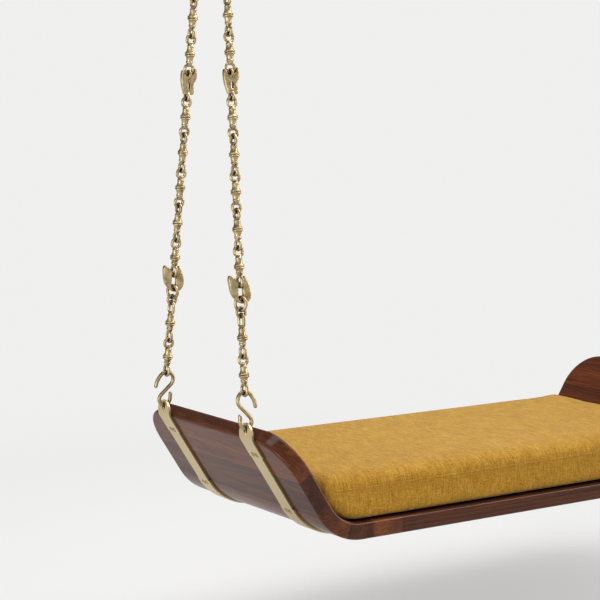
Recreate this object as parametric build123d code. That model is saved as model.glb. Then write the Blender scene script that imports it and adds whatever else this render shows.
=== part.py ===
from build123d import *
import os
from math import asin, cos, degrees, radians, sin, sqrt

# A jhoola: a swing bench with upturned ends, hung from the ceiling on four brass chains.
# Millimetres, +Z up, X along the bench, Y from its front (-) to its back (+).
# The origin is under the middle of the bench, level with its lowest point.

# ---------------------------------------------------------------- driving sizes
# wooden board
board_depth = 610.0
board_thickness = 38.0
flat_half_length = 505.0
bend_inner_radius = 98.0
end_angle = 57.3
end_length = 200.0
end_corner_radius = 98.0
edge_round = 7.0
plank_count = 3
joint_stave_width = 79.0
first_stave_flat = 28.0
bend_stave_count = 3
upper_stave_count = 2
spline_width = 24.0
spline_thickness = 6.0
spline_setback = 20.0

# strap bars under the ends
strap_thickness = 5.0
strap_head_width = 51.0
strap_band_width = 45.0
strap_spacing = 361.0
strap_tail = 170.0
strap_top_bend_radius = 24.0
strap_top_bend_back = 5.0
strap_head_rise = 35.0
eye_radius = 8.0
eye_rim = 7.0
eye_point_drop = 13.0
waist_upper = 50.0
waist_lower = 196.0

# slotted screws in the straps
screw_head_radius = 4.8
screw_crown = 1.0
screw_sink = 2.2
screw_rim = 1.3
screw_rim_depth = 1.4
screw_shank_radius = 2.0
screw_length = 26.0
screw_pair_spacing = 14.0
screw_slot_width = 1.8
screw_slot_depth = 1.4
screw_upper_drop = 42.0
screw_lower_drop = 205.0
screw_tail_inset = 26.0

# S hooks
hook_wire_radius = 4.4
hook_lower_radius = 14.5
hook_upper_radius = 18.5
hook_centre_distance = 46.3
hook_lower_tip = 12.0
hook_upper_tip = 4.0
hook_tip_radius = 44.0
hook_flare = 45.0
hook_tip_turn = 35.0

# chain links and rings
link_pitch = 81.4
link_wire_radius = 3.5
link_eye_width = 27.0
link_eye_height = 26.5
link_long_eye_height = 31.0
link_eye_foot_radius = 6.5
link_long_foot_radius = 8.0
link_bead_radius = 7.9
link_bead_setback = 3.0
link_bead_rise = 2.6
link_shoulder_radius = 9.6
link_shoulder_rise = 4.8
link_neck_radius = 7.2
link_collar_radius = 11.7
link_collar_groove = 10.4
ring_link_stretch = 7.4
small_ring_inner_radius = 7.8
small_ring_wire_radius = 3.0
large_ring_inner_radius = 11.0
large_ring_wire_radius = 3.7
large_ring_turn = 20.0
motif_thickness = 9.0
motif_eye_inner_radius = 5.5
motif_eye_wire_radius = 3.0
motif_edge_round = 1.5
hook_bird_crest = 5.0
hook_bird_foot = 9.0
hook_bird_slot_width = 13.0
hook_bird_slot_height = 32.5
hook_bird_slot_corner = 4.0
neck_bird_pitch = 61.0
neck_bird_foot = 11.0
neck_bird_slit_width = 5.5
neck_bird_slit_height = 16.0
shoulder_radius = 2.0
shoulder_drop = 4.5
middle_link_count = 5
upper_link_count = 5
top_link_count = 3

# master rings and ceiling fittings
master_ring_inner_radius = 62.0
master_ring_wire_radius = 5.5
top_half_spacing = 690.0
hanger_drop = 46.0
hanger_eye_radius = 7.5
hanger_lug_radius = 18.0
hanger_lug_thickness = 12.0
knuckle_radius = 15.0
knuckle_width = 26.0
pin_radius = 7.0
pin_head_radius = 11.0
pin_head_length = 6.0
nut_across_flats = 22.0
nut_length = 9.0
cheek_thickness = 9.0
cheek_radius = 19.0
pin_drop = 34.0
plate_radius = 62.0
plate_thickness = 8.0
plate_hole_pitch_radius = 46.0
plate_hole_radius = 4.5
plate_hole_count = 4

# cushion
cushion_height = 104.0
cushion_depth = 594.0
cushion_edge_round = 26.0
cover_thickness = 2.0

# clearances
contact_gap = 0.3
running_gap = 0.05
side_gap = 0.4
seat_gap = 0.4
glue_gap = 0.1
notch_gap = 0.8

# ---------------------------------------------------------------- sizes that follow
board_bottom = strap_thickness + screw_crown
board_top = board_bottom + board_thickness
bend_outer_radius = bend_inner_radius + board_thickness
bend_centre_z = board_top + bend_inner_radius
incline = Vector(cos(radians(end_angle)), sin(radians(end_angle)))
outward = Vector(sin(radians(end_angle)), -cos(radians(end_angle)))
bend_centre = Vector(flat_half_length, bend_centre_z)
incline_foot = bend_centre + outward * bend_outer_radius
outer_corner = incline_foot + incline * end_length
inner_corner = outer_corner - outward * board_thickness
half_depth = board_depth / 2
strap_y = strap_spacing / 2

strap_bend_start = outer_corner - incline * strap_top_bend_back
strap_bend_centre = strap_bend_start - outward * strap_top_bend_radius
strap_inner_x = strap_bend_centre.X + strap_top_bend_radius
strap_mid_x = strap_inner_x + strap_thickness / 2
strap_top_z = outer_corner.Y + strap_head_rise
eye_top_z = strap_top_z - eye_rim
eye_centre_z = eye_top_z - eye_radius

hook_grip = hook_lower_radius - hook_wire_radius - contact_gap
hook_contact = hook_centre_distance + hook_upper_radius - hook_wire_radius
wire_at_eye_z = eye_top_z + sqrt(hook_grip**2 - (strap_thickness / 2) ** 2) - hook_lower_radius

link_hole_radius = link_eye_width / 2 - 2 * link_wire_radius
crest_seat = link_hole_radius - sqrt(link_hole_radius**2 - (motif_thickness / 2) ** 2)
hook_bird_pitch = hook_bird_slot_height - crest_seat
foot_half_width = motif_thickness / 2 / cos(radians(large_ring_turn))
large_ring_seat = large_ring_inner_radius - sqrt(large_ring_inner_radius**2 - foot_half_width**2)
master_ring_radius = master_ring_inner_radius + master_ring_wire_radius


def stacked(start, pitches):
    """Heights of the bearing points of pieces hung one on the next, and the last one's top."""
    heights = []
    level = start
    for pitch in pitches:
        heights.append(level - contact_gap)
        level += pitch - contact_gap
    return heights, level


chain_pitches = [link_pitch, link_pitch + ring_link_stretch]
chain_pitches += [2 * small_ring_inner_radius, 2 * large_ring_inner_radius - large_ring_seat]
chain_pitches += [hook_bird_pitch] + [link_pitch] * middle_link_count + [neck_bird_pitch]
chain_pitches += [link_pitch] * upper_link_count + [neck_bird_pitch] + [link_pitch] * top_link_count
chain_heights, chain_top = stacked(hook_contact, chain_pitches)
chain_length = chain_top - contact_gap + master_ring_inner_radius

splay = degrees(asin(strap_y / (chain_length + hook_lower_radius)))
sloped_drop = (chain_length + hook_lower_radius) * cos(radians(splay)) + master_ring_radius
lean = degrees(asin((strap_mid_x - top_half_spacing) / sloped_drop))
ring_top_z = wire_at_eye_z + sloped_drop * cos(radians(lean))
pin_z = ring_top_z + hanger_drop
hanger_sag = master_ring_radius - sqrt(master_ring_radius**2 - (hanger_lug_thickness / 2) ** 2)
hanger_eye_z = ring_top_z + hanger_eye_radius - master_ring_wire_radius - contact_gap - hanger_sag
plate_bottom_z = pin_z + pin_drop
plate_top_z = plate_bottom_z + plate_thickness


# ---------------------------------------------------------------- helpers
def save(name, shape):
    """Write one node as parts/NAME.step."""
    export_step(shape, os.path.join("parts", name + ".step"))


def group(shapes):
    """Separate solids that share one node."""
    return Compound([solid for shape in shapes for solid in shape.solids()])


def save_ends(name, shapes):
    """Write a node of the right end and its twin at the left end."""
    right = group(shapes)
    save("right_" + name, right)
    save("left_" + name, group([mirror(right, about=Plane.YZ)]))


def slab(edges, width):
    """A closed outline in the XZ plane, thickened evenly about it along Y."""
    face = make_face([Plane.XZ * edge for edge in edges])
    return extrude(face, amount=width / 2, both=True, dir=(0, 1, 0))


def flat(vector):
    """The two coordinates of a vector of the XZ outline."""
    return vector.X, vector.Y


def plane_on_incline(along, y=0.0):
    """A plane on the end panel's outer face, this far below its top edge, with its normal outward."""
    point = outer_corner - incline * along
    origin = (point.X, y, point.Y)
    return Plane(origin=origin, x_dir=(incline.X, 0, incline.Y), z_dir=(outward.X, 0, outward.Y))


# ---------------------------------------------------------------- wooden board
def board_half():
    """The right half of the board in one piece: a bent shell of even thickness with round corners."""
    centre = flat(bend_centre)
    outline = [
        Line((0, board_bottom), (flat_half_length, board_bottom)),
        CenterArc(centre, bend_outer_radius, -90, end_angle),
        Line(flat(incline_foot), flat(outer_corner)),
        Line(flat(outer_corner), flat(inner_corner)),
        Line(flat(inner_corner), flat(bend_centre + outward * bend_inner_radius)),
        CenterArc(centre, bend_inner_radius, -90, end_angle),
        Line((flat_half_length, board_top), (0, board_top)),
        Line((0, board_top), (0, board_bottom)),
    ]
    half = slab(outline, board_depth)
    reach = 4 * board_thickness
    for side in (-1, 1):
        corner = plane_on_incline(end_corner_radius / 2, side * (half_depth - end_corner_radius / 2))
        centre = plane_on_incline(end_corner_radius, side * (half_depth - end_corner_radius))
        waste = corner * Box(end_corner_radius, end_corner_radius, reach)
        half -= waste - centre * Cylinder(end_corner_radius, reach)
    return half


def is_rim(edge):
    """True for the edges around the board's two faces, which are rounded over."""
    across = edge.geom_type == GeomType.LINE and abs(edge.tangent_at(0).Y) > 0.99
    return edge.length > board_thickness + 1 and not (across and edge.center().Z < outer_corner.Y - 1)


def rounded_board():
    """The whole board with its rims rounded over."""
    half = board_half()
    board = half + mirror(half, about=Plane.YZ)
    return fillet([edge for edge in board.edges() if is_rim(edge)], edge_round)


def board_pieces(board):
    """The board parted into deck planks, and for the right end a joint stave and the end staves."""
    joint_x = flat_half_length - first_stave_flat - joint_stave_width
    deck = board & Pos(0, 0, board_top) * Box(2 * joint_x, 2 * board_depth, 4 * board_thickness)
    plank_depth = board_depth / plank_count
    planks = []
    for index in range(plank_count):
        y = (index + 0.5) * plank_depth - half_depth
        planks.append(deck & Pos(0, y, board_top) * Box(2 * joint_x, plank_depth, 4 * board_thickness))
    cuts = [Plane(origin=(joint_x, 0, 0), z_dir=(1, 0, 0))]
    cuts.append(Plane(origin=(joint_x + joint_stave_width, 0, 0), z_dir=(1, 0, 0)))
    for index in range(1, bend_stave_count + 1):
        turn = radians(end_angle * index / bend_stave_count)
        cuts.append(Plane(origin=(bend_centre.X, 0, bend_centre.Y), z_dir=(cos(turn), 0, sin(turn))))
    for index in range(1, upper_stave_count):
        above = plane_on_incline(end_length * (1 - index / upper_stave_count))
        cuts.append(Plane(origin=above.origin, z_dir=(incline.X, 0, incline.Y)))
    rest = split(board, bisect_by=cuts[0], keep=Keep.TOP)
    staves = []
    for cut in cuts[1:]:
        staves.append(split(rest, bisect_by=cut, keep=Keep.BOTTOM))
        rest = split(rest, bisect_by=cut, keep=Keep.TOP)
    staves.append(rest)
    return joint_x, planks, staves[0], staves[1:]


def joint_spline(joint_x, gap):
    """A loose tongue that crosses the glue line between the planks and the joint stave."""
    length = board_depth - 2 * spline_setback
    middle = (board_bottom + board_top) / 2
    tongue = Box(spline_width - 2 * gap, length - 2 * gap, spline_thickness - 2 * gap)
    return Pos(joint_x, 0, middle) * tongue


# ---------------------------------------------------------------- screws
def screw_turning(gap=0.0):
    """A countersunk screw with a low crown, its seat's plane at z = 0, or its hole if given a gap."""
    head = screw_head_radius + gap
    shank = screw_shank_radius + gap
    tip = screw_length + gap
    outline = [
        Line((0, -tip), (shank, -tip + shank)),
        Line((shank, -tip + shank), (shank, -screw_sink)),
        Line((shank, -screw_sink), (head, 0)),
        ThreePointArc((head, 0), (head * 0.55, screw_crown * 0.75), (0, screw_crown)),
        Line((0, screw_crown), (0, -tip)),
    ]
    return revolve(make_face([Plane.XZ * edge for edge in outline]), axis=Axis.Z)


def screw_recess():
    """The shallow recess round a screw's head, in the strap's outer face."""
    return Cylinder(screw_head_radius + screw_rim, 2 * screw_rim_depth)


def screw():
    """The screw itself, with its driver slot."""
    slot = Pos(0, 0, screw_crown) * Box(3 * screw_head_radius, screw_slot_width, 2 * screw_slot_depth)
    return screw_turning() - slot


def screw_places(y):
    """Planes of the six screws of one strap, each on the strap's outer face."""
    places = []
    for side in (-0.5, 0.5):
        across = y + side * screw_pair_spacing
        for drop in (screw_upper_drop, screw_lower_drop):
            seat = plane_on_incline(drop, across)
            places.append(seat.offset(strap_thickness))
        tail_x = flat_half_length - strap_tail + screw_tail_inset
        places.append(Plane(origin=(tail_x, across, screw_crown), x_dir=(1, 0, 0), z_dir=(0, 0, -1)))
    return places


# ---------------------------------------------------------------- straps
def strap_path(offset):
    """The strap's inner face (offset 0) or outer face, from its tail under the deck up to its head."""
    centre = flat(bend_centre)
    top_turn = strap_top_bend_radius + offset
    board_turn = bend_outer_radius + offset
    level = board_bottom - offset
    foot = bend_centre + outward * board_turn
    bend_start = strap_bend_start + outward * offset
    x = strap_inner_x + offset
    return [
        Line((flat_half_length - strap_tail, level), (flat_half_length, level)),
        CenterArc(centre, board_turn, -90, end_angle),
        Line(flat(foot), flat(bend_start)),
        CenterArc(flat(strap_bend_centre), top_turn, end_angle - 90, 90 - end_angle),
        Line((x, strap_bend_centre.Y), (x, strap_top_z)),
    ]


def strap():
    """One bent strap bar on the board's middle plane, with its waist, round head and eye."""
    inner = strap_path(0)
    outer = strap_path(strap_thickness)
    ends = [Line(inner[-1] @ 1, outer[-1] @ 1), Line(inner[0] @ 0, outer[0] @ 0)]
    bar = slab(inner + outer + ends, strap_head_width)
    waist = waist_lower - waist_upper
    notch = (strap_head_width - strap_band_width) / 2
    for side in (-1, 1):
        place = plane_on_incline((waist_upper + waist_lower) / 2, side * strap_head_width / 2)
        bar -= place * Box(waist, 2 * notch, 4 * strap_thickness)
    head_z = strap_top_z - strap_head_width / 2
    block = Box(60, 2 * strap_head_width, 2 * strap_head_width)
    above = Pos(strap_mid_x, 0, head_z + strap_head_width) * block
    dome = Pos(strap_mid_x, 0, head_z) * Rot(0, 90, 0) * Cylinder(strap_head_width / 2, 80)
    bar -= above - dome
    eye = Pos(strap_mid_x, 0, eye_centre_z) * Rot(0, 90, 0) * Cylinder(eye_radius, 80)
    flank = eye_radius**2 / eye_point_drop
    half_width = eye_radius * sqrt(1 - (flank / eye_radius) ** 2)
    corners = [(half_width, -flank), (0, -eye_point_drop), (-half_width, -flank)]
    point = Plane(origin=(strap_mid_x, 0, eye_centre_z), x_dir=(0, 1, 0), z_dir=(1, 0, 0)) * make_face(
        Polyline(*corners, close=True)
    )
    return bar - eye - extrude(point, amount=40, both=True)


# ---------------------------------------------------------------- S hooks
def s_hook():
    """An S hook about the chain's axis, its lower bend centred on the origin and its mouths in XZ."""
    cross = asin((hook_upper_radius + hook_lower_radius) / hook_centre_distance)
    turn = degrees(cross)
    flare = radians(hook_flare)
    droop = radians(hook_flare - hook_tip_turn)
    top = (0, hook_centre_distance)
    arm_centre = Vector(*top) - Vector(cos(flare), sin(flare)) * (hook_tip_radius - hook_upper_radius)
    arm_end = arm_centre + Vector(cos(droop), sin(droop)) * hook_tip_radius
    tip = arm_end + Vector(sin(droop), -cos(droop)) * hook_upper_tip
    heel = Vector(*top) - Vector(cos(cross), sin(cross)) * hook_upper_radius
    toe = Vector(cos(cross), sin(cross)) * hook_lower_radius
    end = (-hook_lower_radius, hook_lower_tip)
    route = [
        Line(flat(tip), flat(arm_end)),
        CenterArc(flat(arm_centre), hook_tip_radius, hook_flare - hook_tip_turn, hook_tip_turn),
        CenterArc(top, hook_upper_radius, hook_flare, 180 + turn - hook_flare),
        Line(flat(heel), flat(toe)),
        CenterArc((0, 0), hook_lower_radius, turn, -180 - turn),
        Line((-hook_lower_radius, 0), end),
    ]
    path = Wire([Plane.XZ * edge for edge in route])
    start = Plane(origin=path @ 0, z_dir=path % 0)
    wire = sweep(start * Circle(hook_wire_radius), path=path)
    return wire + Pos(*(path @ 0)) * Sphere(hook_wire_radius) + Pos(*(path @ 1)) * Sphere(hook_wire_radius)


# ---------------------------------------------------------------- chain links
def link_eye(reach, height, foot_radius):
    """A round-nosed eye in the XZ plane of this height, the top of its hole at this reach."""
    bend = link_eye_width / 2 - link_wire_radius
    top = reach + link_wire_radius - bend
    bottom = reach + 3 * link_wire_radius - height
    side = bend - foot_radius
    shoulder = bottom + foot_radius
    route = [
        CenterArc((0, top), bend, 0, 180),
        Line((-bend, top), (-bend, shoulder)),
        CenterArc((-side, shoulder), foot_radius, 180, 90),
        Line((-side, bottom), (side, bottom)),
        CenterArc((side, shoulder), foot_radius, 270, 90),
        Line((bend, shoulder), (bend, top)),
    ]
    path = Wire([Plane.XZ * edge for edge in route])
    return sweep(Pos(bend, 0, top) * Circle(link_wire_radius), path=path)


def link_turning(eye_foot):
    """The upper half of a link's turned middle: half a double collar, a tapered neck and a bead."""
    bead = eye_foot - link_bead_setback
    neck_end = (link_neck_radius, bead - link_bead_rise)
    lip = (link_shoulder_radius, link_shoulder_rise)
    neck_middle = (link_neck_radius + 0.5, (link_shoulder_rise + neck_end[1]) / 2)
    crown = (link_neck_radius - 0.6, bead + link_bead_rise)
    end = eye_foot + link_wire_radius - 0.3
    outline = [
        ThreePointArc((link_collar_groove, 0), (link_collar_radius, link_shoulder_rise / 2), lip),
        ThreePointArc(lip, neck_middle, neck_end),
        ThreePointArc(neck_end, (link_bead_radius, bead), crown),
        Line(crown, (link_neck_radius - 2, end)),
        Line((link_neck_radius - 2, end), (0, end)),
        Line((0, end), (0, 0)),
        Line((0, 0), (link_collar_groove, 0)),
    ]
    return revolve(make_face([Plane.XZ * edge for edge in outline]), axis=Axis.Z)


def link_half(reach, eye_height, foot_radius):
    """The upper half of a link, its eye in the XZ plane."""
    eye_foot = reach + 2 * link_wire_radius - eye_height
    return link_turning(eye_foot) + link_eye(reach, eye_height, foot_radius)


def link(long_lower=False, quarter_turned=False, stretch=0.0):
    """One cast baluster link about its middle.

    Its lower eye may be a long one, and a quarter turn round. Its upper eye may be stretched.
    """
    reach = link_pitch / 2
    upper = link_half(reach + stretch, link_eye_height + stretch, link_eye_foot_radius)
    lower = link_half(reach, link_eye_height, link_eye_foot_radius)
    if long_lower:
        lower = link_half(reach, link_long_eye_height, link_long_foot_radius)
    lower = mirror(lower, about=Plane.XY)
    if quarter_turned:
        lower = Rot(0, 0, 90) * lower
    return upper + lower


def ring(inner_radius, wire_radius):
    """A plain ring in the YZ plane, the lowest point of its hole at the origin."""
    torus = Torus(inner_radius + wire_radius, wire_radius)
    return Pos(0, 0, inner_radius) * Rot(0, 90, 0) * torus


def motif_eye():
    """A small round eye in the YZ plane, the top of its hole at the origin."""
    torus = Torus(motif_eye_inner_radius + motif_eye_wire_radius, motif_eye_wire_radius)
    return Pos(0, 0, -motif_eye_inner_radius) * Rot(0, 90, 0) * torus


def motif_plate(edges):
    """A cast plate of this outline with softened rims."""
    plate = slab(edges, motif_thickness)
    rims = [edge for edge in plate.edges() if abs(edge.center().Y) > motif_thickness / 2 - 0.1]
    return fillet(rims, motif_edge_round)


def hook_bird():
    """The hook bird: a plate with a prong and a breast, round a slot that takes the link and the ring.

    The link above bears at the origin and the ring below at hook_bird_pitch under it.
    """
    crest = crest_seat + hook_bird_crest
    bottom = -hook_bird_pitch - hook_bird_foot
    outline = Spline(
        (0, crest), (-5.5, crest + 2.5), (-7.8, 14), (-10.4, 20.2), (-14.5, 16), (-19, 6.5), (-23.3, -5),
        (-26, -18), (-24, -28), (-18.5, -35.5), (-10, bottom + 0.6), (0, bottom + 1), (10, -33), (19, -24),
        (25, -12), (28, 4), (28.7, 16), (25, 22), (20.5, 20), (13, 15), (6, crest + 2.3),
        periodic=True,
    )
    plate = slab([outline], motif_thickness)
    slot = Plane.XZ * Pos(0, crest_seat - hook_bird_slot_height / 2) * RectangleRounded(
        hook_bird_slot_width, hook_bird_slot_height, hook_bird_slot_corner
    )
    return plate - extrude(slot, amount=20, both=True)


def neck_bird():
    """The long-necked bird: a body with one slit, and a crosswise eye at each end.

    The link below bears at the origin and the link above at neck_bird_pitch over it.
    """
    notch = link_eye_width / 2 + notch_gap
    low = 2 * link_wire_radius - link_eye_width / 2
    high = neck_bird_pitch - low
    foot = neck_bird_foot
    back_inner = (sqrt(notch**2 - shoulder_drop**2), high - shoulder_drop)
    back = (back_inner[0] + 2 * shoulder_radius, back_inner[1])
    back_top = (back_inner[0] + shoulder_radius, back_inner[1] + shoulder_radius)
    head_inner = (-notch, high)
    head = (-notch - 2 * shoulder_radius, high)
    head_top = (-notch - shoulder_radius, high + shoulder_radius)
    edges = [
        Line((-13, foot), (9, foot)),
        Spline((9, foot), (12, 20), (16, 32), (18, 43), (18.8, 52), back),
        ThreePointArc(back, back_top, back_inner),
        ThreePointArc(back_inner, (0, high - notch), head_inner),
        ThreePointArc(head_inner, head_top, head),
        Spline(head, (-20, 56), (-19.8, 48), (-17, 41.5), (-13.5, 35.5), (-14.5, 26), (-13, foot)),
    ]
    plate = motif_plate(edges)
    slit = Plane.XZ * Pos(-2, foot + 11 + neck_bird_slit_height / 2) * SlotOverall(
        neck_bird_slit_height, neck_bird_slit_width, rotation=90
    )
    upper = Pos(0, 0, neck_bird_pitch) * motif_eye()
    lower = mirror(motif_eye(), about=Plane.XY)
    return plate - extrude(slit, amount=20, both=True) + upper + lower


def chain_place(side):
    """The frame of one right-hand chain: its Z axis runs up the chain from the S hook's lower bend."""
    ring_centre = Pos(top_half_spacing, 0, ring_top_z) * Rot(0, -lean, 0) * Pos(0, 0, -master_ring_radius)
    return ring_centre * Rot(side * splay, 0, 0) * Pos(0, 0, -chain_length)


def chain_nodes(side):
    """The solids of one chain of the right end, by node; side is -1 in front and +1 at the back."""
    place = chain_place(side)
    crosswise = Rot(0, 0, 90)
    heights = iter(chain_heights)
    facing = link()
    turned = crosswise * facing

    def hang(shape, rise=0.0):
        return place * Pos(0, 0, next(heights) + rise) * shape

    def run(first, end):
        return [hang(turned if index % 2 else facing, link_pitch / 2) for index in range(first, end)]

    hook = s_hook()
    nodes = {"s_hook": [place * (hook if side > 0 else mirror(hook, about=Plane.YZ))]}
    holder = link(long_lower=True, quarter_turned=True)
    ring_link = crosswise * link(long_lower=True, stretch=ring_link_stretch)
    nodes["lower_links"] = [hang(holder, link_pitch / 2), hang(ring_link, link_pitch / 2)]
    small = ring(small_ring_inner_radius, small_ring_wire_radius)
    large = ring(large_ring_inner_radius, large_ring_wire_radius)
    nodes["rings"] = [hang(crosswise * small), hang(Rot(0, 0, -large_ring_turn) * large)]
    nodes["hook_bird"] = [hang(hook_bird(), hook_bird_pitch)]
    nodes["middle_links"] = [hang(holder, link_pitch / 2)] + run(1, middle_link_count)
    nodes["neck_birds"] = [hang(neck_bird())]
    nodes["upper_links"] = run(0, upper_link_count)
    nodes["neck_birds"].append(hang(neck_bird()))
    last = mirror(link(long_lower=True), about=Plane.XY)
    nodes["top_links"] = run(0, top_link_count - 1) + [hang(last, link_pitch / 2)]
    return nodes


# ---------------------------------------------------------------- ceiling fittings
def master_ring():
    """The big ring that gathers both chains of one end under the hanger."""
    place = Pos(top_half_spacing, 0, ring_top_z) * Rot(0, -lean, 0) * Pos(0, 0, -master_ring_radius)
    return place * Rot(0, 90, 0) * Torus(master_ring_radius, master_ring_wire_radius)


def hanger():
    """The forged hanger: a knuckle on the pin above and a drilled lug for the master ring below."""
    neck_height = pin_z - hanger_eye_z
    neck_width = knuckle_width - 4
    across_bench = Pos(top_half_spacing, 0, hanger_eye_z) * Rot(90, 0, 0)
    along_bench = Pos(top_half_spacing, 0, pin_z) * Rot(0, 90, 0)
    knuckle = along_bench * Cylinder(knuckle_radius, knuckle_width)
    neck = Box(neck_width, hanger_lug_thickness, neck_height)
    neck = Pos(top_half_spacing, 0, hanger_eye_z + neck_height / 2) * neck
    lug = across_bench * Cylinder(hanger_lug_radius, hanger_lug_thickness)
    eye = across_bench * Cylinder(hanger_eye_radius, 2 * hanger_lug_thickness)
    bore = along_bench * Cylinder(pin_radius + running_gap, 2 * knuckle_width)
    return knuckle + neck + lug - eye - bore


def ceiling_plate():
    """The round ceiling plate with its two cheeks and four empty screw holes."""
    middle = (plate_bottom_z + plate_top_z) / 2
    plate = Pos(top_half_spacing, 0, middle) * Cylinder(plate_radius, plate_thickness)
    for side in (-1, 1):
        x = top_half_spacing + side * (knuckle_width / 2 + side_gap + cheek_thickness / 2)
        round_end = Pos(x, 0, pin_z) * Rot(0, 90, 0) * Cylinder(cheek_radius, cheek_thickness)
        web = Pos(x, 0, pin_z + pin_drop / 2) * Box(cheek_thickness, 2 * cheek_radius, pin_drop)
        plate += round_end + web
    bore = Cylinder(pin_radius + running_gap, 4 * knuckle_width)
    plate -= Pos(top_half_spacing, 0, pin_z) * Rot(0, 90, 0) * bore
    for index in range(plate_hole_count):
        turn = radians(45 + 360 * index / plate_hole_count)
        x = top_half_spacing + plate_hole_pitch_radius * cos(turn)
        y = plate_hole_pitch_radius * sin(turn)
        plate -= Pos(x, y, middle) * Cylinder(plate_hole_radius, 2 * plate_thickness)
    return plate


def pin_and_nut():
    """The swing pin with its round head on the inner side, and the nut on its outer end."""
    cheek_out = knuckle_width / 2 + side_gap + cheek_thickness
    nut_start = cheek_out + side_gap
    length = cheek_out + side_gap + nut_start + nut_length + 3
    along = Pos(top_half_spacing - cheek_out - side_gap, 0, pin_z) * Rot(0, 90, 0)
    shank = along * Pos(0, 0, length / 2) * Cylinder(pin_radius, length)
    head = along * Pos(0, 0, -pin_head_length / 2) * Cylinder(pin_head_radius, pin_head_length)
    nut_x = top_half_spacing + nut_start
    face = Plane(origin=(nut_x, 0, pin_z), x_dir=(0, 1, 0), z_dir=(1, 0, 0))
    hexagon = RegularPolygon(nut_across_flats / 2, 6, major_radius=False) - Circle(pin_radius + running_gap)
    return shank + head, extrude(face * hexagon, amount=nut_length)


# ---------------------------------------------------------------- cushion
def cushion_block(inset):
    """The cushion's form, shrunk by an inset: a box whose ends follow the board's bent ends."""
    gap = seat_gap + inset
    turn = bend_inner_radius - gap
    base = board_top + gap
    top = board_top + seat_gap + cushion_height - inset
    foot = bend_centre + outward * turn
    head = foot + incline * ((top - foot.Y) / incline.Y)
    centre = flat(bend_centre)
    half = [
        Line((0, base), (flat_half_length, base)),
        CenterArc(centre, turn, -90, end_angle),
        Line(flat(foot), flat(head)),
        Line(flat(head), (0, top)),
        Line((0, top), (0, base)),
    ]
    block = slab(half, cushion_depth - 2 * inset)
    block += mirror(block, about=Plane.YZ)
    upright = [edge for edge in block.edges() if edge.center().Z > top - 1]
    return fillet(upright, cushion_edge_round - inset)


# ---------------------------------------------------------------- the whole swing
def make_bench():
    """Board, straps and screws."""
    joint_x, planks, joint_stave, end_staves = board_pieces(rounded_board())
    groove = joint_spline(joint_x, 0)
    other_groove = mirror(groove, about=Plane.YZ)
    places = screw_places(-strap_y) + screw_places(strap_y)
    holes = [place * screw_turning(glue_gap) for place in places]
    twin_holes = [mirror(hole, about=Plane.YZ) for hole in holes]
    for hole in holes + twin_holes:
        planks = [plank - hole for plank in planks]
    planks = [plank - groove - other_groove for plank in planks]
    joint_stave -= groove
    for hole in holes:
        joint_stave -= hole
        end_staves = [stave - hole for stave in end_staves]
    save("deck_planks", group(planks))
    save_ends("joint_stave", [joint_stave])
    save_ends("end_staves", end_staves)
    tongue = joint_spline(joint_x, glue_gap)
    save("joint_splines", group([tongue, mirror(tongue, about=Plane.YZ)]))
    bar = strap()
    recess = screw_recess()
    for name, y in (("front", -strap_y), ("rear", strap_y)):
        drilled = Pos(0, y, 0) * bar
        for place, hole in zip(places, holes):
            drilled -= hole + place * recess
        save_ends(name + "_strap", [drilled])
    fixing = screw()
    save_ends("strap_screws", [place * fixing for place in places])


def make_hangings():
    """Chains, hooks, master rings and ceiling fittings."""
    for name, side in (("front_", -1), ("rear_", 1)):
        for node, shapes in chain_nodes(side).items():
            save_ends(name + node, shapes)
    save_ends("master_ring", [master_ring()])
    save_ends("hanger", [hanger()])
    save_ends("ceiling_plate", [ceiling_plate()])
    pin, nut = pin_and_nut()
    save_ends("swing_pin", [pin])
    save_ends("pin_nut", [nut])


def make_cushion():
    """The foam and the sewn cover round it."""
    foam = cushion_block(cover_thickness + glue_gap)
    cover = cushion_block(0) - cushion_block(cover_thickness)
    save("cushion_foam", foam)
    save("cushion_cover", cover)


if __name__ == "__main__":
    os.makedirs("parts", exist_ok=True)
    make_bench()
    make_hangings()
    make_cushion()
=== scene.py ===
import bpy
import math
import numpy as np
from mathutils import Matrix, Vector
from mathutils.bvhtree import BVHTree


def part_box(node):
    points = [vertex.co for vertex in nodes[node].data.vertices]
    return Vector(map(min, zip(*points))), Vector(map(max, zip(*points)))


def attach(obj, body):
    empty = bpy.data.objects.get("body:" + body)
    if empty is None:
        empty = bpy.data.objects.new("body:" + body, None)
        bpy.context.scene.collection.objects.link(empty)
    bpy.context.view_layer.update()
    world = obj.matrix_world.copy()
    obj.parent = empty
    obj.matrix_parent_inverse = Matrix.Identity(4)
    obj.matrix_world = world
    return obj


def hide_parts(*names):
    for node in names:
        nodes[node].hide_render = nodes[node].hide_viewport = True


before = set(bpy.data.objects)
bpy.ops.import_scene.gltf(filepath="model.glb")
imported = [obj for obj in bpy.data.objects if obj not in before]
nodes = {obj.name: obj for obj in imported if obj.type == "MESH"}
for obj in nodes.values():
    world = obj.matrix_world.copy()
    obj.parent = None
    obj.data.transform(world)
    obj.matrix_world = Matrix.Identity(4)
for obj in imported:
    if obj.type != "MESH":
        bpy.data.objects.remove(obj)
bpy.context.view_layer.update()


# ---------------------------------------------------------------- the rosewood board
# The board is oiled and waxed rosewood: three long planks, a cross-grain joint stave at each side,
# and upturned ends coopered from staves whose grain runs from front to back. All of it is glued,
# then planed fair and rubbed to a soft shine.
sides = ("left", "right")
BOARD_DEPTH = 0.610
PLANKS = 3
FLAT_HALF_LENGTH = 0.505
BEND_CENTRE_HEIGHT = 0.142
END_ANGLE = math.radians(57.3)
BEND_STAVES = 3
UPPER_STAVE_WIDTH = 0.100
GRAIN_ACROSS = (0, 0, math.radians(90))
RING_PITCH = 0.0085
RING_SWAY = 0.055
GRAIN_RELIEF = 0.00025
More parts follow.
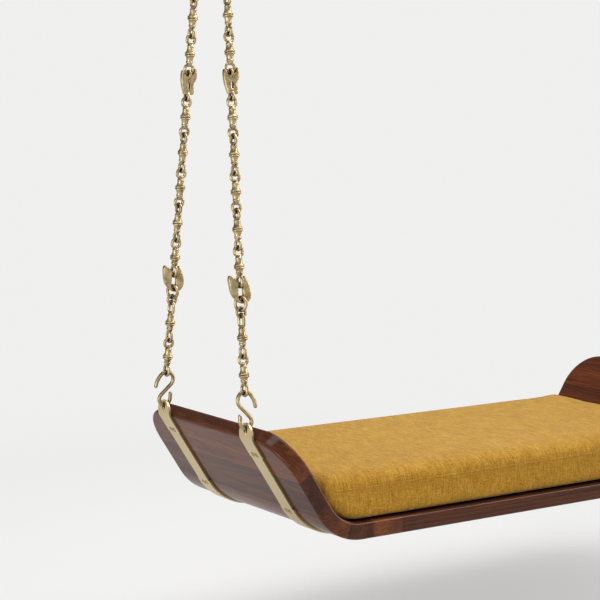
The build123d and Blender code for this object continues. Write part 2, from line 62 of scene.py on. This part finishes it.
GRAIN_MIDDLE = 0.71
PLANK_TONE = 0.44
JOINT_TONE = 0.64
DARKEST_STAVE = 0.38
STAVE_CONTRAST = 0.20
BLACK_BROWN = (0.020, 0.006, 0.003, 1)
DEEP_BROWN = (0.058, 0.0145, 0.0045, 1)
RED_BROWN = (0.136, 0.036, 0.010, 1)
WARM_BROWN = (0.250, 0.078, 0.022, 1)
WOOD_SHADOW = (0.012, 0.004, 0.002, 1)


def put(tree, kind, inputs=None, **settings):
    """A new shader node; each input is given a value, or linked if it is given a socket."""
    made = tree.nodes.new("ShaderNode" + kind)
    for name, value in settings.items():
        setattr(made, name, value)
    for name, value in (inputs or {}).items():
        if isinstance(value, bpy.types.NodeSocket):
            tree.links.new(value, made.inputs[name])
        else:
            made.inputs[name].default_value = value
    return made


def calc(tree, operation, *values):
    """The result of a Math node."""
    return put(tree, "Math", dict(enumerate(values)), operation=operation).outputs[0]


def weigh(tree, *parts):
    """The sum of some values, each given with its weight."""
    total = None
    for value, weight in parts:
        part = calc(tree, "MULTIPLY", value, weight)
        total = part if total is None else calc(tree, "ADD", total, part)
    return total


def mix(tree, factor, first, second, blend="MIX"):
    """The result of mixing two colours."""
    made = put(tree, "Mix", {0: factor, 6: first, 7: second}, data_type="RGBA", blend_type=blend)
    return made.outputs[2]


def ramp(tree, value, stops):
    """The colour that a value picks between stops of (position, colour)."""
    made = put(tree, "ValToRGB", {0: value})
    while len(made.color_ramp.elements) < len(stops):
        made.color_ramp.elements.new(0.5)
    for element, (position, colour) in zip(made.color_ramp.elements, stops):
        element.position = position
        element.color = colour
    return made.outputs[0]


def stretched_noise(tree, place, scale, detail=3.0, roughness=0.55):
    """Noise between 0 and 1 whose grain has this many features per metre along each axis."""
    spread = put(tree, "Mapping", {"Vector": place, "Scale": scale}).outputs[0]
    inputs = {"Vector": spread, "Scale": 1, "Detail": detail, "Roughness": roughness}
    return put(tree, "TexNoise", inputs).outputs[0]


def new_group(name, inputs, outputs):
    """An empty shader group, its input and output nodes, with sockets given as (name, type)."""
    tree = bpy.data.node_groups.new(name, "ShaderNodeTree")
    for label, kind in inputs:
        tree.interface.new_socket(label, in_out="INPUT", socket_type="NodeSocket" + kind)
    for label, kind in outputs:
        tree.interface.new_socket(label, in_out="OUTPUT", socket_type="NodeSocket" + kind)
    return tree, tree.nodes.new("NodeGroupInput").outputs, tree.nodes.new("NodeGroupOutput").inputs


def use_group(tree, group, inputs):
    """The outputs of a group placed in a material."""
    return put(tree, "Group", inputs, node_tree=group).outputs


def new_material(name):
    """A new material, its node tree, its Principled shader and the object's own coordinates."""
    material = bpy.data.materials.new(name)
    material.use_nodes = True
    tree = material.node_tree
    return material, tree, tree.nodes["Principled BSDF"], put(tree, "TexCoord").outputs["Object"]


def raise_bump(tree, shader, height, distance, strength):
    """Feed the shader's normal from a height."""
    bump = put(tree, "Bump", {"Height": height, "Distance": distance, "Strength": strength})
    tree.links.new(bump.outputs[0], shader.inputs["Normal"])


def finish_nodes(names, material):
    """Give CAD nodes this material."""
    for name in names:
        nodes[name].data.materials.clear()
        nodes[name].data.materials.append(material)


def rosewood_group():
    """Rosewood grain that runs along the X axis of the place it is given."""
    tree, given, out = new_group(
        "rosewood_grain",
        [("Place", "Vector"), ("Tone", "Float")],
        [("Color", "Color"), ("Roughness", "Float"), ("Height", "Float")],
    )
    warp = stretched_noise(tree, given["Place"], (2.2, 16, 16), 2)
    pull = calc(tree, "MULTIPLY", calc(tree, "SUBTRACT", warp, 0.5), RING_SWAY)
    shift = put(tree, "CombineXYZ", {"Y": pull, "Z": pull}).outputs[0]
    bent = put(tree, "VectorMath", {0: given["Place"], 1: shift}, operation="ADD").outputs[0]
    drawn_out = {"Vector": bent, "Location": (0, 0.13, 0.19), "Scale": (0.10, 1, 1)}
    flat = put(tree, "Mapping", drawn_out).outputs[0]
    # A wave of scale 1 turns 20 radians in a metre.
    ring_scale = math.tau / (20 * RING_PITCH)
    rings = put(
        tree,
        "TexWave",
        {"Vector": flat, "Scale": ring_scale, "Distortion": 1.0, "Detail": 2, "Detail Scale": 0.8},
        wave_type="RINGS",
        rings_direction="X",
        wave_profile="SAW",
    ).outputs["Fac"]
    broad = stretched_noise(tree, given["Place"], (1.6, 26, 26), 2)
    fibre = stretched_noise(tree, given["Place"], (9, 420, 420), 3, 0.65)
    pores = stretched_noise(tree, given["Place"], (38, 900, 900), 1)
    mixed = weigh(tree, (rings, 0.19), (broad, 0.74), (fibre, 0.44))
    mixed = calc(tree, "ADD", mixed, calc(tree, "SUBTRACT", given["Tone"], GRAIN_MIDDLE))
    browns = [(0.05, BLACK_BROWN), (0.34, DEEP_BROWN), (0.62, RED_BROWN), (0.95, WARM_BROWN)]
    colour = ramp(tree, mixed, browns)
    pore_mask = ramp(tree, pores, [(0.28, (0.35, 0.35, 0.35, 1)), (0.42, (1, 1, 1, 1))])
    tree.links.new(mix(tree, 0.75, colour, pore_mask, "MULTIPLY"), out["Color"])
    tree.links.new(calc(tree, "ADD", 0.30, calc(tree, "MULTIPLY", fibre, 0.18)), out["Roughness"])
    tree.links.new(calc(tree, "ADD", fibre, calc(tree, "MULTIPLY", pores, 0.6)), out["Height"])
    return tree


def stave_group():
    """Which stave of an upturned end a place is in, counted from the deck outwards."""
    tree, given, out = new_group("stave_number", [("Place", "Vector")], [("Number", "Float")])
    place = put(tree, "SeparateXYZ", {0: given["Place"]}).outputs
    out_x = calc(tree, "SUBTRACT", calc(tree, "ABSOLUTE", place["X"]), FLAT_HALF_LENGTH)
    up_z = calc(tree, "SUBTRACT", place["Z"], BEND_CENTRE_HEIGHT)
    turn = calc(tree, "ARCTAN2", out_x, calc(tree, "MULTIPLY", up_z, -1))
    in_bend = calc(tree, "MULTIPLY", calc(tree, "MAXIMUM", turn, 0), BEND_STAVES / END_ANGLE)
    in_bend = calc(tree, "FLOOR", calc(tree, "MINIMUM", in_bend, BEND_STAVES - 0.01))
    along_x = calc(tree, "MULTIPLY", out_x, math.cos(END_ANGLE))
    along = calc(tree, "ADD", along_x, calc(tree, "MULTIPLY", up_z, math.sin(END_ANGLE)))
    above = calc(tree, "CEIL", calc(tree, "MAXIMUM", calc(tree, "DIVIDE", along, UPPER_STAVE_WIDTH), 0))
    tree.links.new(calc(tree, "ADD", in_bend, above), out["Number"])
    return tree


def crevice_group():
    """A mask that is 1 in the open and falls to 0 in crevices, for the grime that stays there and for
    painted shade in corners and recesses.
    """
    reach_and_depth = [("Reach", "Float"), ("Depth", "Float")]
    tree, given, out = new_group("crevices", reach_and_depth, [("Open", "Float")])
    open_sky = put(tree, "AmbientOcclusion", {"Distance": given["Reach"]}, samples=8).outputs["AO"]
    tree.links.new(calc(tree, "POWER", open_sky, given["Depth"]), out["Open"])
    return tree


def finish_rosewood(tree, shader, grain):
    """The wax over the grain, with painted shade darkening the corners against cushion and straps."""
    open_sky = use_group(tree, crevices, {"Reach": 0.012, "Depth": 1.2})["Open"]
    # Ambient occlusion mixes the wood towards WOOD_SHADOW in corners and along cushion and straps:
    # painted shade.
    tree.links.new(mix(tree, open_sky, WOOD_SHADOW, grain["Color"]), shader.inputs["Base Color"])
    tree.links.new(grain["Roughness"], shader.inputs["Roughness"])
    shader.inputs["Specular IOR Level"].default_value = 0.05
    shader.inputs["Coat Weight"].default_value = 0.37
    shader.inputs["Coat Roughness"].default_value = 0.12
    raise_bump(tree, shader, grain["Height"], GRAIN_RELIEF, strength=0.5)


def place_in_log(tree, place, number, spacing):
    """The place shifted for each board's number, as each board was cut from another part of a log."""
    step = put(tree, "VectorMath", {0: spacing, "Scale": number}, operation="SCALE").outputs[0]
    return put(tree, "VectorMath", {0: place, 1: step}, operation="ADD").outputs[0]


crevices = crevice_group()
rosewood_grain = rosewood_group()
stave_number = stave_group()

deck_wood, tree, shader, place = new_material("rosewood_long_grain")
plank = put(tree, "SeparateXYZ", {0: place}).outputs["Y"]
plank = calc(tree, "ADD", plank, BOARD_DEPTH / 2)
plank = calc(tree, "FLOOR", calc(tree, "MULTIPLY", plank, PLANKS / BOARD_DEPTH))
along_plank = place_in_log(tree, place, plank, (3.1, 0.7, 0))
finish_rosewood(tree, shader, use_group(tree, rosewood_grain, {"Place": along_plank, "Tone": PLANK_TONE}))

end_wood, tree, shader, place = new_material("rosewood_staves")
number = use_group(tree, stave_number, {"Place": place})["Number"]
turned = put(tree, "Mapping", {"Vector": place, "Rotation": GRAIN_ACROSS}).outputs[0]
along_stave = place_in_log(tree, turned, number, (2.7, 0.43, 0.31))
tone = calc(tree, "FRACT", calc(tree, "ADD", calc(tree, "MULTIPLY", number, 0.618), 0.25))
tone = calc(tree, "ADD", calc(tree, "MULTIPLY", tone, STAVE_CONTRAST), DARKEST_STAVE)
finish_rosewood(tree, shader, use_group(tree, rosewood_grain, {"Place": along_stave, "Tone": tone}))

joint_wood, tree, shader, place = new_material("rosewood_joint_stave")
across = {"Vector": place, "Rotation": GRAIN_ACROSS, "Location": (1.3, 0.2, 0.9)}
turned = put(tree, "Mapping", across).outputs[0]
finish_rosewood(tree, shader, use_group(tree, rosewood_grain, {"Place": turned, "Tone": JOINT_TONE}))

finish_nodes(["deck_planks", "joint_splines"], deck_wood)
finish_nodes([side + "_end_staves" for side in sides], end_wood)
finish_nodes([side + "_joint_stave" for side in sides], joint_wood)


# ---------------------------------------------------------------- the strap bars and their screws
# Flat bars of pale brass, bent round the ends of the board, rubbed along their length with a fine
# abrasive and held by slotted brass screws, where a little polish and dirt has stayed behind on the bars;
# the screws' slots and recesses are darkened with painted shade.
rows = ("front", "rear")
STRAP_BRASS = (0.70, 0.57, 0.34, 1)
STRAP_SHADE = (0.54, 0.42, 0.22, 1)
SCREW_BRASS = (0.58, 0.44, 0.21, 1)
# Dirt on the straps, and painted shade in the screws' slots and recesses.
GRIME_AND_PAINTED_SHADE = (0.055, 0.032, 0.012, 1)
RUBBING_DEPTH = 0.00008

strap_brass, tree, shader, place = new_material("rubbed_pale_brass")
rubbed = stretched_noise(tree, place, (14, 1600, 14), 2, 0.6)
cloudy = stretched_noise(tree, place, (22, 22, 22), 3)
open_sky = use_group(tree, crevices, {"Reach": 0.006, "Depth": 1.3})["Open"]
tint = mix(tree, weigh(tree, (rubbed, 0.5), (cloudy, 0.5)), STRAP_SHADE, STRAP_BRASS)
tree.links.new(mix(tree, open_sky, GRIME_AND_PAINTED_SHADE, tint), shader.inputs["Base Color"])
tree.links.new(calc(tree, "ADD", 0.34, calc(tree, "MULTIPLY", rubbed, 0.14)), shader.inputs["Roughness"])
shader.inputs["Metallic"].default_value = 1.0
raise_bump(tree, shader, rubbed, RUBBING_DEPTH, strength=0.5)

screw_brass, tree, shader, place = new_material("screw_brass")
cloudy = stretched_noise(tree, place, (300, 300, 300), 2)
# The screws' slots and recesses are darkened almost to black: painted shade.
open_sky = use_group(tree, crevices, {"Reach": 0.005, "Depth": 6.5})["Open"]
tree.links.new(mix(tree, open_sky, GRIME_AND_PAINTED_SHADE, SCREW_BRASS), shader.inputs["Base Color"])
tree.links.new(calc(tree, "ADD", 0.25, calc(tree, "MULTIPLY", cloudy, 0.2)), shader.inputs["Roughness"])
shader.inputs["Metallic"].default_value = 1.0

finish_nodes([side + "_" + row + "_strap" for side in sides for row in rows], strap_brass)
finish_nodes([side + "_strap_screws" for side in sides], screw_brass)


# ---------------------------------------------------------------- the chains
# Links, rings, birds and S hooks are cast or bent brass, darkened with age: bright where hands and
# neighbours rub them, brown in the hollows, and a little pitted from the sand they were cast in.
CHAIN_BRASS = (0.55, 0.45, 0.26, 1)
CHAIN_SHADE = (0.27, 0.185, 0.070, 1)
CHAIN_GRIME = (0.048, 0.026, 0.008, 1)
HOOK_BRASS = (0.46, 0.36, 0.20, 1)
HOOK_SHADE = (0.28, 0.20, 0.10, 1)


def aged_brass(name, bright, shade, reach, depth, pitting):
    """Aged brass, bright on top, with grime in its hollows."""
    material, tree, shader, place = new_material(name)
    cloudy = stretched_noise(tree, place, (60, 60, 60), 4, 0.6)
    pits = stretched_noise(tree, place, (520, 520, 520), 3, 0.6)
    open_sky = use_group(tree, crevices, {"Reach": reach, "Depth": depth})["Open"]
    tint = ramp(tree, cloudy, [(0.32, shade), (0.62, bright)])
    tree.links.new(mix(tree, open_sky, CHAIN_GRIME, tint), shader.inputs["Base Color"])
    roughness = calc(tree, "ADD", 0.24, calc(tree, "MULTIPLY", cloudy, 0.22))
    roughness = calc(tree, "SUBTRACT", roughness, calc(tree, "MULTIPLY", pits, 0.06))
    tree.links.new(roughness, shader.inputs["Roughness"])
    shader.inputs["Metallic"].default_value = 1.0
    raise_bump(tree, shader, pits, pitting, strength=0.6)
    return material


cast_finish = {"reach": 0.007, "depth": 1.7, "pitting": 0.0004}
wire_finish = {"reach": 0.010, "depth": 1.2, "pitting": 0.0001}
chain_brass = aged_brass("aged_cast_brass", CHAIN_BRASS, CHAIN_SHADE, **cast_finish)
hook_brass = aged_brass("aged_wire_brass", HOOK_BRASS, HOOK_SHADE, **wire_finish)
links = ("lower_links", "middle_links", "upper_links", "top_links")
birds = ("hook_bird", "neck_birds")
for side in sides:
    for row in rows:
        finish_nodes([side + "_" + row + "_" + part for part in (*links, "rings", *birds)], chain_brass)
        finish_nodes([side + "_" + row + "_s_hook"], hook_brass)


# ---------------------------------------------------------------- the birds on the chains
# Each bird is a sand casting, filed by hand: a plump body with no sharp edge left on it. Its solid is
# divided into small even squares, plumped a little and rubbed down until every rim is round.
CAST_GRAIN = 0.0011
CAST_PLUMP = 0.0007
RUBS = 16


def select_only(piece):
    """Make this piece the only selected and the active one."""
    bpy.ops.object.select_all(action="DESELECT")
    piece.select_set(True)
    bpy.context.view_layer.objects.active = piece


def even_copy(node, name, square):
    """A copy of a CAD node's solid as one closed mesh of even squares."""
    piece = bpy.data.objects.new(name, nodes[node].data.copy())
    piece.data.transform(nodes[node].matrix_world)
    bpy.context.scene.collection.objects.link(piece)
    select_only(piece)
    bpy.ops.object.mode_set(mode="EDIT")
    bpy.ops.mesh.select_all(action="SELECT")
    bpy.ops.mesh.remove_doubles(threshold=0.00001)
    bpy.ops.mesh.customdata_custom_splitnormals_clear()
    bpy.ops.object.mode_set(mode="OBJECT")
    remesh = piece.modifiers.new("even_squares", "REMESH")
    remesh.mode = "VOXEL"
    remesh.voxel_size = square
    bpy.ops.object.modifier_apply(modifier=remesh.name)
    return piece


def rub_down(piece, strokes):
    """Relax the mesh with this many strokes."""
    select_only(piece)
    relax = piece.modifiers.new("relax", "SMOOTH")
    relax.factor = 0.5
    relax.iterations = strokes
    bpy.ops.object.modifier_apply(modifier=relax.name)
    bpy.ops.object.shade_smooth()


for side in sides:
    for row in rows:
        for kind in birds:
            node = side + "_" + row + "_" + kind
            bird = even_copy(node, node + "_casting", CAST_GRAIN)
            plump = bird.modifiers.new("plump", "DISPLACE")
            plump.strength = CAST_PLUMP
            plump.mid_level = 0
            bpy.ops.object.modifier_apply(modifier=plump.name)
            rub_down(bird, RUBS)
            bird.data.materials.clear()
            bird.data.materials.append(chain_brass)
            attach(bird, side + "_chains")
            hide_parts(node)


# ---------------------------------------------------------------- the ceiling fittings
# Master rings, forged hangers, pins, nuts and ceiling plates, in the same aged brass as the hooks,
# turned or forged and left plain, because they hang out of reach.
fitting_parts = ("master_ring", "hanger", "ceiling_plate", "swing_pin", "pin_nut")
finish_nodes([side + "_" + part for side in sides for part in fitting_parts], hook_brass)


# ---------------------------------------------------------------- the box cushion
# A foam block in a cover of mustard linen. The cover is cut as a top, a bottom and a boxing strip,
# sewn with a plain seam just under the rounded top edge, and the foam swells it a little.
CUSHION_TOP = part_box("cushion_cover")[1].z
CUSHION_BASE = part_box("cushion_cover")[0].z
CLOTH_SQUARE = 0.006
PRESSURE = 4.0
SWELL_FRAMES = 20
SWELL_LIMIT = 0.007
SEAT_LIMIT = 0.001
RESTING_HEIGHT = 0.012
BASE_ROUND = 0.017
CLOTH_RUBS = 24
SEAM_DROP = 0.030
SEAM_RADIUS = 0.0017
SEAM_STEP = 0.008
SEAM_HALF_LENGTH = 0.565
SEAM_HALF_DEPTH = 0.275
CLEAR_OF_END = 0.66
CLEAR_OF_FRONT = 0.34
MUSTARD_DARK = (0.235, 0.088, 0.004, 1)
MUSTARD = (0.435, 0.208, 0.016, 1)
MUSTARD_LIGHT = (0.640, 0.390, 0.060, 1)
THREAD_PITCH = 0.0013
WEAVE_RELIEF = 0.0004
SHEEN_TINT = (0.58, 0.76, 0.46, 1)


def places_of(piece):
    """The piece's vertices as an array."""
    found = np.empty(len(piece.data.vertices) * 3)
    piece.data.vertices.foreach_get("co", found)
    return found.reshape(-1, 3)


def set_places(piece, places):
    """Move the piece's vertices."""
    piece.data.vertices.foreach_set("co", places.ravel())
    piece.data.update()


def height_on_board(places):
    """How far each place lies off the board, measured square to its flat, bent or upturned part."""
    out_x = np.abs(places[:, 0]) - FLAT_HALF_LENGTH
    up_z = places[:, 2] - BEND_CENTRE_HEIGHT
    turn = np.clip(np.arctan2(out_x, -up_z), 0, END_ANGLE)
    return -up_z.min() - out_x * np.sin(turn) + up_z * np.cos(turn)


def foam_copy():
    """The foam's solid as one closed mesh of even squares, rounded in where it meets the board."""
    piece = even_copy("cushion_foam", "box_cushion", CLOTH_SQUARE)
    places = places_of(piece)
    half_depth = places[:, 1].max()
    rise = np.clip(height_on_board(places) / BASE_ROUND, 0, 1)
    tuck = BASE_ROUND * (1 - np.sqrt(1 - (1 - rise) ** 2))
    reach = 3 * BASE_ROUND
    near_side = np.clip((np.abs(places[:, 1]) - half_depth + reach) / reach, 0, 1)
    places[:, 1] -= np.sign(places[:, 1]) * tuck * near_side**2
    set_places(piece, places)
    return piece


def swell(piece):
    """Let the cover swell under the foam's pressure, and hold it where it lies on the board."""
    start = places_of(piece)
    normals = np.empty(len(piece.data.vertices) * 3)
    piece.data.vertices.foreach_get("normal", normals)
    normals = normals.reshape(-1, 3)
    # The normals tell which squares lie on the board and which face its upturned ends.
    resting = (start[:, 2] < CUSHION_BASE + RESTING_HEIGHT) & (normals[:, 2] < -0.3)
    facing_end = (np.abs(normals[:, 0]) > 0.5) & (normals[:, 2] < 0.2)
    held = piece.vertex_groups.new(name="held")
    held.add(np.flatnonzero(resting).tolist(), 1.0, "REPLACE")
    cloth = piece.modifiers.new("swell", "CLOTH")
    cloth.settings.use_pressure = True
    cloth.settings.uniform_pressure_force = PRESSURE
    cloth.settings.vertex_group_mass = held.name
    cloth.settings.effector_weights.gravity = 0
    cloth.settings.bending_stiffness = 2.0
    cloth.point_cache.frame_start = 1
    cloth.point_cache.frame_end = SWELL_FRAMES
    for frame_number in range(1, SWELL_FRAMES + 1):
        bpy.context.scene.frame_set(frame_number)
    select_only(piece)
    bpy.ops.object.modifier_apply(modifier=cloth.name)
    bpy.context.scene.frame_set(1)
    moved = places_of(piece) - start
    far = np.linalg.norm(moved, axis=1)
    limit = np.where(resting | facing_end, SEAT_LIMIT, SWELL_LIMIT)
    moved *= np.minimum(1, limit / np.maximum(far, 1e-9))[:, None]
    set_places(piece, start + moved)
    piece.vertex_groups.clear()


def smooth_and_refine(piece):
    """Relax the mesh and divide it once."""
    rub_down(piece, CLOTH_RUBS)
    refine = piece.modifiers.new("refine", "SUBSURF")
    refine.levels = refine.render_levels = 1
    bpy.ops.object.modifier_apply(modifier=refine.name)
    bpy.ops.object.shade_smooth()


def sewn_seam(cushion):
    """A thin welt along the cover's upper seam, lying on the swollen cover."""
    cover = BVHTree.FromObject(cushion, bpy.context.evaluated_depsgraph_get())
    level = CUSHION_TOP - SEAM_DROP
    rim = []
    # Rays find the cover from the front and the right end, then from the back and the left end.
    for way in (1, -1):
        for x in np.arange(-SEAM_HALF_LENGTH, SEAM_HALF_LENGTH, SEAM_STEP):
            rim.append(((way * x, -way * CLEAR_OF_FRONT, level), (0, way, 0)))
        for y in np.arange(-SEAM_HALF_DEPTH, SEAM_HALF_DEPTH, SEAM_STEP):
            rim.append(((way * CLEAR_OF_END, way * y, level), (-way, 0, 0)))
    points = [cover.ray_cast(Vector(start), Vector(aim))[0] for start, aim in rim]
    points = [point for point in points if point is not None]
    curve = bpy.data.curves.new("cushion_seam", "CURVE")
    curve.dimensions = "3D"
    curve.bevel_depth = SEAM_RADIUS
    curve.bevel_resolution = 1
    line = curve.splines.new("POLY")
    line.points.add(len(points) - 1)
    for spot, point in zip(line.points, points):
        spot.co = (*point, 1)
    line.use_cyclic_u = True
    piece = bpy.data.objects.new("cushion_seam", curve)
    bpy.context.scene.collection.objects.link(piece)
    select_only(piece)
    bpy.ops.object.convert(target="MESH")
    bpy.ops.object.shade_smooth()
    return bpy.context.object


linen, tree, shader, place = new_material("mustard_linen")
axes = put(tree, "SeparateXYZ", {0: place}).outputs
round_edge = calc(tree, "SUBTRACT", calc(tree, "ABSOLUTE", axes["Y"]), axes["Z"])
warp_slubs = stretched_noise(tree, place, (300, 28, 28), 4, 0.65)
weft_slubs = stretched_noise(tree, place, (70, 380, 380), 3, 0.6)
nap = stretched_noise(tree, place, (240, 240, 240), 4, 0.75)
mottle = stretched_noise(tree, place, (24, 24, 24), 4, 0.6)
warp = calc(tree, "SINE", calc(tree, "MULTIPLY", axes["X"], math.pi / THREAD_PITCH))
weft = calc(tree, "SINE", calc(tree, "MULTIPLY", round_edge, math.pi / THREAD_PITCH))
threads = calc(tree, "ADD", calc(tree, "ABSOLUTE", warp), calc(tree, "ABSOLUTE", weft))
threads = calc(tree, "MULTIPLY", threads, 0.5)
slubs = ((warp_slubs, 0.42), (weft_slubs, 0.20))
shade = weigh(tree, *slubs, (nap, 0.42), (threads, 0.10), (mottle, 0.14))
cloth_colour = ramp(tree, shade, [(0.49, MUSTARD_DARK), (0.64, MUSTARD), (0.80, MUSTARD_LIGHT)])
tree.links.new(cloth_colour, shader.inputs["Base Color"])
shader.inputs["Roughness"].default_value = 0.85
shader.inputs["Specular IOR Level"].default_value = 0.2
shader.inputs["Sheen Weight"].default_value = 0.28
shader.inputs["Sheen Roughness"].default_value = 0.45
shader.inputs["Sheen Tint"].default_value = SHEEN_TINT
weave_height = weigh(tree, (threads, 0.5), (shade, 1.2))
raise_bump(tree, shader, weave_height, WEAVE_RELIEF, strength=0.6)

cushion = foam_copy()
swell(cushion)
smooth_and_refine(cushion)
seam = sewn_seam(cushion)
for piece in (cushion, seam):
    piece.data.materials.clear()
    piece.data.materials.append(linen)
    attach(piece, "cushion")
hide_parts("cushion_foam", "cushion_cover")


# ---------------------------------------------------------------- floor, lights and camera
# A pale seamless floor runs out into a pale backdrop. A wide soft lamp hangs over the bench, weaker
# ones stand behind the camera and to the left, the room gives an even fill, and a tall strip light
# on the right shows only in wax and metal.
FLOOR_DROP = 0.295
FLOOR_SPAN = 60
FLOOR_WHITE = (0.82, 0.82, 0.81, 1)
FLOOR_GLOW = 0.50
FADE_START = 0.9
FADE_END = 3.2
BACKDROP = 0.868
PAPER_WHITE = (1, 1, 0.995, 1)
ROOM_FILL = 0.55
BRIGHT_SIDE = (-0.558, -0.829, 0)
STRIP_LIGHT = 8.5
STRIP_WARMTH = (1, 0.88, 0.78, 1)
STRIP_AHEAD = 0.27
FRAME_PIXELS = 600
LENS_PIXELS = 1718.5
SENSOR_WIDTH = 36
CAMERA_PLACE = (-2.6887, -3.2975, 0.9509)
CAMERA_DIP = 6.37
CAMERA_TURN = -33.95


def fade(tree, value, start, end, kind="LINEAR"):
    """A level that follows a value from one (value, level) to another and stays put beyond them."""
    span = {"From Min": start[0], "From Max": end[0], "To Min": start[1], "To Max": end[1]}
    return put(tree, "MapRange", {"Value": value, **span}, interpolation_type=kind).outputs[0]


def seamless_floor():
    """The floor, which glows a little by the bench, painted light that makes the bench's shadow paler
    there, and fades into the backdrop away from it.
    """
    bpy.ops.mesh.primitive_plane_add(size=FLOOR_SPAN, location=(0, 0, -FLOOR_DROP))
    floor = bpy.context.object
    floor.name = "studio_floor"
    material, tree, shader, place = new_material("studio_floor")
    shader.inputs["Base Color"].default_value = FLOOR_WHITE
    shader.inputs["Roughness"].default_value = 0.9
    shader.inputs["Specular IOR Level"].default_value = 0.0
    flat = put(tree, "VectorMath", {0: place, 1: (1, 1, 0)}, operation="MULTIPLY").outputs[0]
    away = put(tree, "VectorMath", {0: flat}, operation="LENGTH").outputs["Value"]
    # Near the bench, FLOOR_GLOW of the floor's look is glow: painted light that makes the bench's shadow
    # paler.
    backdrop = fade(tree, away, (FADE_START, FLOOR_GLOW), (FADE_END, 1), "SMOOTHSTEP")
    rays = put(tree, "LightPath").outputs
    seen = calc(tree, "MAXIMUM", rays["Is Camera Ray"], rays["Is Glossy Ray"])
    glow = put(tree, "Emission", {"Color": PAPER_WHITE, "Strength": BACKDROP}).outputs[0]
    share = calc(tree, "MULTIPLY", backdrop, seen)
    joined = put(tree, "MixShader", {0: share, 1: shader.outputs[0], 2: glow})
    tree.links.new(joined.outputs[0], tree.nodes["Material Output"].inputs["Surface"])
    floor.data.materials.append(material)


def soft_lamp(name, place, aim, size, power):
    """A square soft lamp that faces a point."""
    data = bpy.data.lights.new(name, "AREA")
    data.size = size
    data.energy = power
    lamp = bpy.data.objects.new(name, data)
    lamp.location = place
    lamp.rotation_euler = (Vector(aim) - Vector(place)).to_track_quat("-Z", "Y").to_euler()
    bpy.context.scene.collection.objects.link(lamp)


def room():
    """The world: a white backdrop to the eye, a room with a strip light to the shine, and a fill."""
    world = bpy.data.worlds.new("room")
    world.use_nodes = True
    tree = world.node_tree
    rays = put(tree, "LightPath").outputs
    seen = calc(tree, "MAXIMUM", rays["Is Camera Ray"], rays["Is Transmission Ray"])
    fill = put(tree, "Background", {"Color": (1, 1, 1, 1), "Strength": ROOM_FILL}).outputs[0]
    white = put(tree, "Background", {"Color": PAPER_WHITE, "Strength": BACKDROP}).outputs[0]
    way = put(tree, "TexCoord").outputs["Generated"]
    axes = put(tree, "SeparateXYZ", {0: way}).outputs
    # Wax and metal see a room that is brighter on the camera's side and darker overhead.
    darker_above = fade(tree, axes["Z"], (0, 1), (0.9, 0.3))
    ahead = put(tree, "VectorMath", {0: way, 1: BRIGHT_SIDE}, operation="DOT_PRODUCT").outputs["Value"]
    room_glow = calc(tree, "MULTIPLY", darker_above, fade(tree, ahead, (-0.7, 0.28), (0.9, 1)))
    # The strip light is a narrow band of directions on the right, above the floor.
    off_strip = calc(tree, "ABSOLUTE", calc(tree, "ADD", axes["Y"], STRIP_AHEAD))
    strip = fade(tree, off_strip, (0.10, STRIP_LIGHT), (0.16, 0))
    strip = calc(tree, "MULTIPLY", strip, fade(tree, axes["X"], (0.35, 0), (0.45, 1)))
    strip = calc(tree, "MULTIPLY", strip, fade(tree, axes["Z"], (-0.10, 0), (0, 1)))
    shiny = put(tree, "Background", {"Color": (1, 1, 1, 1), "Strength": room_glow}).outputs[0]
    lamp = put(tree, "Background", {"Color": STRIP_WARMTH, "Strength": strip}).outputs[0]
    shiny = put(tree, "AddShader", {0: shiny, 1: lamp}).outputs[0]
    dull = put(tree, "MixShader", {0: rays["Is Glossy Ray"], 1: fill, 2: shiny}).outputs[0]
    final = put(tree, "MixShader", {0: seen, 1: dull, 2: white}).outputs[0]
    tree.links.new(final, tree.nodes["World Output"].inputs["Surface"])
    bpy.context.scene.world = world


def photographer():
    """The camera: a long lens, a little above the bench, from the front of its left end."""
    data = bpy.data.cameras.new("camera")
    data.sensor_width = SENSOR_WIDTH
    data.lens = SENSOR_WIDTH * LENS_PIXELS / FRAME_PIXELS
    data.clip_end = 200
    camera = bpy.data.objects.new("camera", data)
    camera.location = CAMERA_PLACE
    camera.rotation_euler = (math.radians(90 - CAMERA_DIP), 0, math.radians(CAMERA_TURN))
    bpy.context.scene.collection.objects.link(camera)
    bpy.context.scene.camera = camera


seamless_floor()
soft_lamp("overhead", place=(0.2, 0.1, 3.2), aim=(0, 0, 0.1), size=3.0, power=90)
soft_lamp("fill", place=(-3.2, -3.4, 2.2), aim=(0, 0, 0.3), size=2.0, power=14)
soft_lamp("side", place=(-4.2, -1.2, 0.2), aim=(-0.5, 0, 0.2), size=2.0, power=54)
room()
photographer()
bpy.context.scene.view_settings.view_transform = "Standard"
